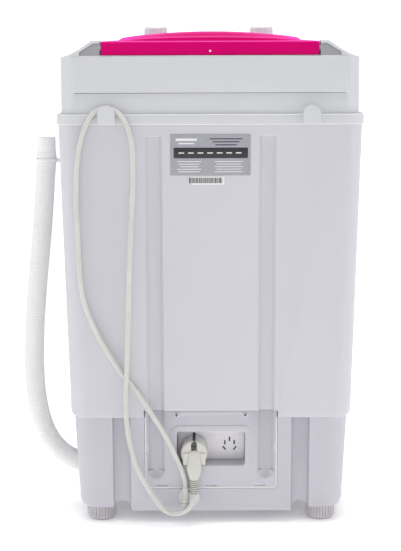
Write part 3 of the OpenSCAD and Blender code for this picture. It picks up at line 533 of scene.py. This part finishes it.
def smooth_group():
    """Geometry nodes that shade smooth except over edges sharper than 32 degrees."""
    group = bpy.data.node_groups.new("smooth_by_angle", "GeometryNodeTree")
    group.interface.new_socket("Geometry", in_out="INPUT", socket_type="NodeSocketGeometry")
    group.interface.new_socket("Geometry", in_out="OUTPUT", socket_type="NodeSocketGeometry")
    n, link = group.nodes, group.links
    start, end = n.new("NodeGroupInput"), n.new("NodeGroupOutput")
    angle = n.new("GeometryNodeInputMeshEdgeAngle")
    compare = n.new("FunctionNodeCompare")
    compare.data_type, compare.operation = "FLOAT", "LESS_THAN"
    compare.inputs[1].default_value = math.radians(32)
    faces, edges = n.new("GeometryNodeSetShadeSmooth"), n.new("GeometryNodeSetShadeSmooth")
    faces.domain, edges.domain = "FACE", "EDGE"
    faces.inputs["Shade Smooth"].default_value = True
    link.new(start.outputs[0], faces.inputs["Geometry"])
    link.new(faces.outputs["Geometry"], edges.inputs["Geometry"])
    link.new(angle.outputs["Unsigned Angle"], compare.inputs[0])
    link.new(compare.outputs["Result"], edges.inputs["Shade Smooth"])
    link.new(edges.outputs["Geometry"], end.inputs[0])
    return group


def dress_nodes():
    for name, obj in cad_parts.items():
        material = materials["plate" if name == "parking_plate" else slot_of(name)]
        obj.data.materials.clear()
        obj.data.materials.append(material)
        for key in ("custom_normal", "sharp_edge", "sharp_face"):
            if key in obj.data.attributes:
                obj.data.attributes.remove(obj.data.attributes[key])
        weld = obj.modifiers.new("weld", "WELD")
        weld.merge_threshold = 0.000002
        if name not in EASED:
            shade = obj.modifiers.new("shade", "NODES")
            shade.node_group = smooth_edges


# ---------- pieces ----------

BASE_REAR_Y = 0.18834
BASE_LEAN = math.radians(1.975)
SHELL_TILT = math.radians(1.431)


def on_base_rear(x, z):
    """Frame on the leaning rear wall of the base: X along it, Y out of it, Z up it."""
    return (Matrix.Translation((x, BASE_REAR_Y, 0)) @ Matrix.Rotation(-BASE_LEAN, 4, "X")
            @ Matrix.Translation((0, 0, z)))


def piece(name, part, body, material, slot, *nodes, smooth=True):
    obj = new_object(name, mesh_from(name, *part, smooth=smooth), body, slot, *nodes)
    obj.data.materials.append(materials[material])
    shade = obj.modifiers.new("shade", "NODES")
    shade.node_group = smooth_edges
    return obj


def ease_in(t):
    t = max(0.0, min(1.0, t))
    return t * t * (3 - 2 * t)


def make_lid():
    lo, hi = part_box("lid")
    w, rear = hi[0] - lo[0], hi[1]
    front = lo[1] + 0.002
    d, y = rear - front, (rear + front) / 2
    low, side, crown, dome_top = lo[2], lo[2] + 0.019, lo[2] + 0.0245, hi[2]
    edge, corner = 0.0032, 0.004
    dome_w, dome_rear, dome_front = 0.268, rear - 0.0375, front + 0.027

    def top(px, py):
        t = px / (w / 2)
        z = side + (crown - side) * (1 - t * t)
        u = px / (dome_w / 2)
        mid, half, r = (dome_rear + dome_front) / 2, (dome_rear - dome_front) / 2, 0.030
        qx, qy = abs(px) - (dome_w / 2 - r), abs(py - mid) - (half - r)
        inside = r - math.hypot(max(qx, 0.0), max(qy, 0.0)) - min(max(qx, qy), 0.0)
        lift = (dome_top - 0.0095 + 0.0095 * (1 - u * u)) - z
        return z + max(0.0, lift) * ease_in(inside / 0.007)

    rings = [rounded_ring(w, d, corner, low, 6, y)]
    for angle in (0, 15, 30, 45, 60, 75, 90):
        a = math.radians(angle)
        q, drop = edge * (1 - math.cos(a)), edge * (1 - math.sin(a))
        ring = rounded_ring(w - 2 * q, d - 2 * q, corner - q, 0, 6, y)
        rings.append([(p[0], p[1], top(p[0], p[1]) - drop) for p in ring])
    inset = edge
    while inset < 0.138:
        inset += 0.0018 if inset < 0.05 else 0.006
        ring = rounded_ring(w - 2 * inset, d - 2 * inset, 0.0005, 0, 6, y)
        rings.append([(p[0], p[1], top(p[0], p[1])) for p in ring])
    # long rings get more points so that the dome stays smooth along them
    rings = [denser(ring, 13) for ring in rings]
    rings = [[(p[0], p[1], top(p[0], p[1])) if i > 7 else p for p in ring]
             for i, ring in enumerate(rings)]
    count = len(rings[0])
    verts, faces = lofted(rings)
    faces = [f for f in faces if f != tuple(range(count))[::-1]]
    shell = mesh_from("lid_skin", verts, faces)
    lid = new_object("lid_skin", shell, "lid", "lid_pink", "lid")
    lid.data.materials.append(materials["lid_pink"])
    thick = lid.modifiers.new("wall", "SOLIDIFY")
    thick.thickness, thick.offset = 0.0028, -1.0
    shade = lid.modifiers.new("shade", "NODES")
    shade.node_group = smooth_edges
    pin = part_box("hinge_pin_right")
    hy, hz = (pin[0][1] + pin[1][1]) / 2, (pin[0][2] + pin[1][2]) / 2
    turn = Matrix.Rotation(math.radians(90), 4, "Y")
    parts = [moved(bushing(0.00308, 0.0062, -0.0055, 0.0055),
                   Matrix.Translation((s * (w / 2 - 0.0092), hy, hz)) @ turn) for s in (-1, 1)]
    parts.append(moved(pillow(0.09, 0.004, 0.004, 0.001, 0.0015),
                       Matrix.Translation((0, front - 0.0001, side - 0.006))))
    piece("lid_bosses", joined(parts), "lid", "lid_pink", "lid_pink", "lid")
    # gate mark on the lid; its near-white colour is a painted highlight
    button = [(0.0001, -0.0006), (0.0014, -0.0006), (0.0014, 0.0002), (0.0009, 0.0005), (0.0001, 0.0006)]
    piece("lid_gate_mark", moved(lathe(button, 24), Matrix.Translation((0, rear - 0.0002, low + 0.0055))
                                 @ Matrix.Rotation(math.radians(-90), 4, "X")), "lid", "rim", "lid_pink")


def denser(ring, per):
    """The same outline with extra points along its four long sides."""
    out, n = [], len(ring)
    lengths = [(Vector(ring[(i + 1) % n]) - Vector(ring[i])).length for i in range(n)]
    long_sides = sorted(range(n), key=lambda i: -lengths[i])[:4] if max(lengths) > 0.02 else []
    long_sides = [i for i in range(n) if i % (n // 4) == n // 4 - 1]
    for i in range(n):
        a, b = Vector(ring[i]), Vector(ring[(i + 1) % n])
        out.append(tuple(a))
        if i in long_sides:
            out += [tuple(a.lerp(b, k / (4 * per))) for k in range(1, 4 * per)]
    return out


def make_knob(node, body):
    lo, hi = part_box(node)
    r, h = (hi[0] - lo[0]) / 2, hi[2] - lo[2]
    flute = lambda a: max(0.0, math.cos(28 * a)) ** 0.7
    profile = [(0.00005, 0.016), (0.0031, 0.016), (0.0031, 0.0), (r - 0.0008, 0.0), (r, 0.0008),
               (r, 0.0028), (r - 0.0004, 0.0036), (r - 0.0012, 0.004), (r - 0.0028, 0.0042),
               (r - 0.0033, 0.0046, 0.0), (r - 0.0034, 0.0054, 0.0011), (r - 0.0037, 0.0222, 0.0011),
               (r - 0.0040, 0.0234, 0.0005), (r - 0.0046, 0.0250), (r - 0.0057, 0.0261),
               (r - 0.0072, h), (r - 0.0095, h - 0.0002), (r - 0.0115, h - 0.0008), (0.004, h - 0.0010),
               (0.0001, h - 0.0010)]
    rib = moved(pillow(0.0028, 0.0205, 0.0054, 0.0008, 0.001), Matrix.Translation((0, 0.0119, 0.0001)))
    mid = Matrix.Translation(((lo[0] + hi[0]) / 2, (lo[1] + hi[1]) / 2, lo[2]))
    piece(node + "_fluted", moved(joined([lathe(profile, 224, flute), rib]), mid), body,
          "knob_white", "knob_white", node)


def make_foot(node):
    lo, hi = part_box(node)
    flute = lambda a: max(0.0, math.cos(30 * a)) ** 0.6
    r, top = 0.0217, hi[2] - lo[2] - 0.012
    profile = [(0.0001, 0.0014), (0.011, 0.0012), (0.0138, 0.0), (0.0168, 0.0002), (0.0190, 0.0010),
               (0.0205, 0.0026), (r - 0.0002, 0.0046, 0.0001), (r, 0.0062, 0.0011), (r, 0.0076, 0.0014),
               (r, top - 0.0012, 0.0014), (r, top - 0.0006, 0.0), (r - 0.0008, top - 0.0001),
               (0.0099, top - 0.0001), (0.0099, top + 0.0115), (0.0092, top + 0.0119),
               (0.0001, top + 0.0119)]
    mid = Matrix.Translation(((lo[0] + hi[0]) / 2, (lo[1] + hi[1]) / 2, lo[2]))
    piece(node + "_ribbed", moved(lathe(profile, 240, flute), mid), "cabinet",
          "foot_grey", "foot_grey", node)


def plug_ring(half_w, y_low, y_high, z, power=2.6, count=32):
    """Squared-off oval of the plug's spine at a height."""
    mid, half_d = (y_low + y_high) / 2, (y_high - y_low) / 2
    ring = []
    for k in range(count):
        a = math.tau * k / count
        c, q = math.cos(a), math.sin(a)
        ring.append((half_w * math.copysign(abs(c) ** (2 / power), c),
                     mid + half_d * math.copysign(abs(q) ** (2 / power), q), z))
    return ring


def make_plug():
    lo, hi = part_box("plug_body")
    x = (lo[0] + hi[0]) / 2
    centre = 0.109
    r, notch = 0.0194, 0.0021
    place = on_base_rear(x, centre)
    # head: a disc with the channel of the earth clip cut in from the top and the bottom
    start = math.asin(notch / r)
    right = [math.pi / 2 - start - (math.pi - 2 * start) * k / 40 for k in range(41)]
    outline = [(r * math.cos(a), r * math.sin(a)) for a in right]
    outline += [(notch, -0.0165), (-notch, -0.0165)]
    outline += [(-r * math.cos(a), r * math.sin(a)) for a in reversed(right)]
    outline += [(-notch, 0.0085), (notch, 0.0085)]
    head = moved(prism(outline, 0.0345, 0.0022), Matrix.Translation((0, 0.0078, 0)))
    # spine over the back of the head, running down into the neck
    rows = [(0.0020, 0.004, 0.0080, 0.0052), (0.0062, 0.003, 0.0094, 0.0050), (0.0080, 0.002, 0.0106, 0.0042),
            (0.0090, 0.001, 0.0118, 0.0026), (0.0094, 0.000, 0.0128, 0.0), (0.0096, 0.0, 0.0141, -0.006),
            (0.0098, 0.0, 0.0153, -0.012), (0.0104, 0.0005, 0.0163, -0.0165), (0.0113, 0.0010, 0.0168, -0.0190),
            (0.0108, 0.0015, 0.0170, -0.0225), (0.0094, 0.0022, 0.0170, -0.0280),
            (0.0076, 0.0028, 0.0170, -0.0335), (0.0070, 0.0031, 0.0169, -0.0365), (0.0062, 0.0037, 0.0163, -0.0378)]
    spine = lofted([plug_ring(*row) for row in rows])
    # hooked grips beside the spine
    grips = [moved(pillow(0.0100, 0.0066, 0.0185, 0.0016, 0.0024),
                   Matrix.Translation((s * 0.0118, 0.0070, -0.0160))) for s in (-1, 1)]
    # ribbed relief
    profile = [(0.0004, -0.0605)]
    for k in range(7):
        z = -0.0605 + 0.0033 * k
        q = 0.0060 + 0.00016 * k
        profile += [(q - 0.0002, z), (q, z + 0.0006), (q, z + 0.0014), (q - 0.0003, z + 0.0018),
                    (q - 0.0019, z + 0.0021), (q - 0.0019, z + 0.0030)]
    profile += [(0.0052, -0.0374), (0.0004, -0.0370)]
    relief = moved(lathe(profile, 32), Matrix.Translation((0, 0.010, 0)))
    piece("plug_moulding", moved(joined([head, spine] + grips + [relief]), place), "cabinet",
          "plug_white", "plug_white", "plug_body")
    clip = [moved(pillow(0.0036, 0.0300, 0.0022, 0.0006, 0.0008),
                  place @ Matrix.Translation((0, -0.0115, z))) for z in (0.0100, -0.0192)]
    clip.append(moved(pillow(0.0036, 0.0020, 0.0100, 0.0006, 0.0008),
                      place @ Matrix.Translation((0, 0.0020, 0.0089))))
    piece("earth_clip", joined(clip), "cabinet", "steel", "steel", "plug_body")


def make_screws():
    """Pan heads on the two screws of the access panel, with dark crosses as painted shade of their cross recess."""
    lo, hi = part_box("access_panel_screws")
    reach = (hi[0] - lo[0]) / 2 - 0.004
    heads, crosses = [], []
    for side in (-1, 1):
        place = on_base_rear(side * reach, 0.167) @ Matrix.Rotation(math.radians(-90), 4, "X")
        profile = [(0.0001, -0.010), (0.0016, -0.010), (0.0018, -0.0095), (0.0018, 0.00006),
                   (0.0039, 0.00006), (0.0040, 0.0004), (0.0037, 0.0010), (0.0030, 0.0014),
                   (0.0018, 0.0016), (0.0012, 0.0012), (0.0004, 0.0011)]
        heads.append(moved(lathe(profile, 40), place))
        # painted shade: dark crosses in place of the shade in the cross recess
        for turn in (12, 102):
            slot = pillow(0.0050, 0.0011, 0.0012, 0.0002, 0.0004)
            crosses.append(moved(slot, place @ Matrix.Rotation(math.radians(turn), 4, "Z")
                                 @ Matrix.Translation((0, 0, 0.0005))))
    piece("panel_screw_heads", joined(heads), "cabinet", "screw", "steel", "access_panel_screws")
    piece("panel_screw_crosses", joined(crosses), "cabinet", "ink", "dark_plastic", "access_panel_screws")


def rounded_path(points, r, per=6):
    """Polyline with its inner corners rounded."""
    out = [Vector(points[0])]
    for a, b, c in zip(points, points[1:], points[2:]):
        a, b, c = Vector(a), Vector(b), Vector(c)
        p, q = b + (a - b).normalized() * r, b + (c - b).normalized() * r
        for k in range(per + 1):
            t = k / per
            out.append(p.lerp(b, t).lerp(b.lerp(q, t), t))
    out.append(Vector(points[-1]))
    return out


def make_panel_rim():
    """Thin raised bead along the sides and the foot of the access panel; the bead is real, its near-white colour a
    painted highlight.
    """
    lo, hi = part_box("rear_access_panel")
    half, foot, top = (hi[0] - lo[0]) / 2 - 0.0009, 0.0552, 0.1640
    path = rounded_path([(-half, 0, top), (-half, 0, foot), (half, 0, foot), (half, 0, top)], 0.005)
    bead = tube(path, lambda i: 0.0008, 10)
    piece("panel_rim", moved(bead, on_base_rear(0, 0)), "cabinet", "rim", "base_white")


def make_beads():
    """Fine real beads along both edges of the cover's lip and the edge under the lid, their near-white colour a
    painted highlight.
    """
    lo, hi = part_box("top_cover")
    w, d, y = hi[0] - lo[0], hi[1] - lo[1], (hi[1] + lo[1]) / 2
    edge_r = 0.0005
    beads = []
    for z in (LIP_LOW + edge_r, LIP_TOP - edge_r):
        ring = [Vector(p) for p in rounded_ring(w - edge_r, d - edge_r, 0.0298, z, 12, y)]
        beads.append(tube(ring + ring[:1], lambda i: edge_r, 10, Vector((0, 0, 1))))
    left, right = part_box("hinge_cap_left"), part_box("hinge_cap_right")
    outer = max(right[1][0], left[1][0])
    rear, deck = left[1][1], left[0][2]
    line = [Vector((outer * k / 10, rear - 0.0001, deck - 0.0003)) for k in range(-10, 11)]
    beads.append(tube(line, lambda i: 0.0006, 10))
    piece("cover_highlight_beads", joined(beads), "cabinet", "rim", "cover_white")


def make_slots():
    """Dark patches on the floors of the blind socket pattern in the parking plate: painted shade."""
    shade_patches = []
    for x, z, turn in ((0, 8, 0), (-7, 3, 0), (7, 3, 0), (-8, -6, -40), (8, -6, 40)):
        lay = Matrix.Translation(((x - 28) * MM, -0.0286, (z + 113) * MM)) \
            @ Matrix.Rotation(math.radians(turn), 4, "Y") @ Matrix.Rotation(math.radians(-90), 4, "X")
        shade_patches.append(moved(pillow(0.00212, 0.00672, 0.0006, 0.0001, 0.0002), on_base_rear(0, 0) @ lay))
    piece("painted_slot_shade", joined(shade_patches), "cabinet", "ink", "dark_plastic")


def make_gland():
    """Flat disc with a raised edge in the near-white material, a painted highlight, the hood that turns the lead
    up, and a dark disc as painted shade of the pin hole.
    """
    lo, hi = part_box("cord_gland")
    x, z, r = (lo[0] + hi[0]) / 2, 0.041, 0.0154
    place = on_base_rear(x, z) @ Matrix.Rotation(math.radians(-90), 4, "X")
    disc = [(0.0001, 0.00005), (r - 0.0004, 0.00005), (r, 0.0005), (r, 0.0020), (r - 0.0003, 0.0025),
            (r - 0.0010, 0.0027), (r - 0.0017, 0.0025), (r - 0.0022, 0.0017), (r - 0.0034, 0.0015),
            (0.0001, 0.0015)]
    hood = moved(pillow(0.0128, 0.0150, 0.0078, 0.0022, 0.0055),
                 Matrix.Translation((0.038, BASE_REAR_Y + 0.0093, 0.0270)))
    # the disc's near-white colour, lighter than the base, is a painted highlight
    piece("gland_disc", moved(lathe(disc, 72), place), "cabinet", "rim", "base_white", "cord_gland")
    piece("gland_hood", hood, "cabinet", "plug_white", "base_white", "cord_gland")
    # painted shade: a solid dark disc where the pin hole is
    pin = moved(lathe([(0.0001, 0.0010), (0.0014, 0.0010), (0.0014, 0.0017), (0.0001, 0.0017)], 24),
                on_base_rear(x - 0.001, 0.0492) @ Matrix.Rotation(math.radians(-90), 4, "X"))
    piece("gland_pin_hole", pin, "cabinet", "ink", "dark_plastic", "cord_gland")


def make_label():
    """Blank bars and a dark band in place of the plate's print, and a generic stripe code."""
    lo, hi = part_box("rating_label")
    frame_at = Matrix.Translation(((lo[0] + hi[0]) / 2, hi[1], hi[2])) \
        @ Matrix.Rotation(-SHELL_TILT, 4, "X")

    def bar(x, z, bw, bh, lift=0.00012):
        # x from the plate's middle, z down from its top
        part = pillow(bw, bh, lift, lift * 0.4, min(bw, bh) * 0.12)
        lay = Matrix.Translation((x, 0, -z)) @ Matrix.Rotation(math.radians(-90), 4, "X")
        return moved(part, frame_at @ lay)

    dark = [bar(-0.0005, 0.0263, 0.1050, 0.0150)]
    light = [bar(0.034, 0.0075, 0.030, 0.0035), bar(0.034, 0.0130, 0.022, 0.0020)]
    for row in range(5):
        light.append(bar(0.030, 0.0385 + 0.0036 * row, 0.034 - 0.004 * (row % 3), 0.0011))
        light.append(bar(-0.026, 0.0385 + 0.0036 * row, 0.040 - 0.005 * (row % 2), 0.0011))
    for k in range(7):
        light.append(bar(-0.040 + 0.0135 * k, 0.0263, 0.0080, 0.0016, 0.00022))
    for row in range(3):
        dark.append(bar(-0.022, 0.0065 + 0.0042 * row, 0.046 - 0.008 * row, 0.0014))
    piece("label_dark_bars", joined(dark), "cabinet", "ink", "dark_plastic", smooth=False)
    piece("label_light_bars", joined(light), "cabinet", "sticker_white", "sticker_white", smooth=False)
    lo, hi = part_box("barcode_sticker")
    frame_at = Matrix.Translation(((lo[0] + hi[0]) / 2, hi[1], hi[2])) \
        @ Matrix.Rotation(-SHELL_TILT, 4, "X")
    stripes, x = [], -0.0205
    for k in range(26):
        wide = 0.0011 if k % 3 else 0.0006
        wide += 0.0005 * (k % 4 == 1)
        stripes.append(bar(x + wide / 2, 0.0058, wide, 0.0078, 0.0001))
        x += wide + (0.0006 if k % 2 else 0.0009)
    piece("sticker_stripes", joined(stripes), "cabinet", "ink", "dark_plastic", smooth=False)


EASED = {"base": 0.0012, "body_shell": 0.0012, "top_cover": 0.0012, "control_panel": 0.0014,
         "rear_access_panel": 0.0005, "cord_hook_left": 0.0009, "cord_hook_right": 0.0009,
         "cord_gland": 0.0006, "hinge_cap_left": 0.0008, "hinge_cap_right": 0.0008,
         "parking_plate": 0.0003}


def ease_nodes():
    """Small real roundings on the moulded nodes that keep their CAD shape."""
    for name, width in EASED.items():
        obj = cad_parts[name]
        flat = obj.modifiers.new("flat", "DECIMATE")
        flat.decimate_type = "DISSOLVE"
        flat.angle_limit = math.radians(0.4)
        ease = obj.modifiers.new("ease", "BEVEL")
        ease.width, ease.segments = width, 3
        ease.limit_method, ease.angle_limit = "ANGLE", math.radians(35)
        ease.use_clamp_overlap = True
        shade = obj.modifiers.new("shade", "NODES")
        shade.node_group = smooth_edges


# ---------- stage ----------

FLOOR_GLOW = 0.45
FAR_GLOW = 0.70
SKY = 0.36
BACKDROP = 4.5
LIP_LOW = 0.592
LIP_TOP = 0.607
LIGHTS = {
    "key": ((0.4, 3.4, 2.4), 1.4, 6.5),
    "side_right": ((2.6, 0.8, 1.0), 1.6, 13),
    "side_left": ((-2.6, 0.8, 1.0), 1.6, 13),
    "top": ((0, 0.15, 2.6), 1.2, 33),
}


def make_stage():
    s = Shader("paper")
    reach = s.add("ShaderNodeVectorMath", operation="LENGTH")
    s.put(reach.inputs[0], s.coords)
    glow = s.map(reach.outputs["Value"], 0.9, 2.5, FLOOR_GLOW, FAR_GLOW)
    # painted contact shadow: the floor's glow is dimmed by ambient occlusion under and beside the machine
    contact_shadow_mask = s.map(s.crevice(0.05), 0.15, 0.80, 0.22, 1.0)
    s.set(Base_Color=rgba(0.93, 0.93, 0.93), Roughness=0.9, Specular_IOR_Level=0.1,
          Emission_Color=rgba(1, 1, 1), Emission_Strength=s.math("MULTIPLY", contact_shadow_mask, glow))
    # a floor that sweeps up into a backdrop on the far side of the object
    profile = [(14.0, 0.0), (4.0, 0.0), (-BACKDROP, 0.0)]
    profile += [(-BACKDROP - 0.9 * math.sin(a), 0.9 - 0.9 * math.cos(a))
                for a in [math.radians(9 * k) for k in range(1, 11)]]
    profile += [(-BACKDROP - 0.9, 1.8)]
    verts = [(x, y, z) for y, z in profile for x in (-14.0, 14.0)]
    faces = [(2 * i, 2 * i + 1, 2 * i + 3, 2 * i + 2) for i in range(len(profile) - 1)]
    mesh = bpy.data.meshes.new("paper_sweep")
    mesh.from_pydata(verts, [], faces)
    for p in mesh.polygons:
        p.use_smooth = True
    mesh.materials.append(s.mat)
    floor = bpy.data.objects.new("paper_sweep", mesh)
    bpy.context.scene.collection.objects.link(floor)

    world = bpy.data.worlds.new("studio")
    world.use_nodes = True
    world.node_tree.nodes["Background"].inputs["Color"].default_value = rgba(1, 1, 1)
    world.node_tree.nodes["Background"].inputs["Strength"].default_value = SKY
    bpy.context.scene.world = world
    for name, (place, size, power) in LIGHTS.items():
        add_light(name, place, (0, 0.1, 0.35), size, power)
    bpy.context.scene.view_settings.view_transform = "Standard"


def add_light(name, place, target, size, power):
    data = bpy.data.lights.new(name, "AREA")
    data.size = size
    data.energy = power
    light = bpy.data.objects.new(name, data)
    light.location = place
    light.rotation_euler = (Vector(target) - Vector(place)).to_track_quat("-Z", "Y").to_euler()
    bpy.context.scene.collection.objects.link(light)


make_camera()
cord = make_power_cord()
hose = make_hose()
materials = make_materials()
smooth_edges = smooth_group()
dress_nodes()
ease_nodes()
cord.data.materials.append(materials["cord_cream"])
hose.data.materials.append(materials["hose_white"])
make_lid()
make_knob("wash_timer_knob", "timer_control")
make_knob("mode_knob", "mode_control")
for corner in ("front_left", "front_right", "rear_left", "rear_right"):
    make_foot("foot_" + corner)
make_plug()
make_label()
make_screws()
make_panel_rim()
make_beads()
make_slots()
make_gland()
make_stage()

bpy.context.view_layer.update()
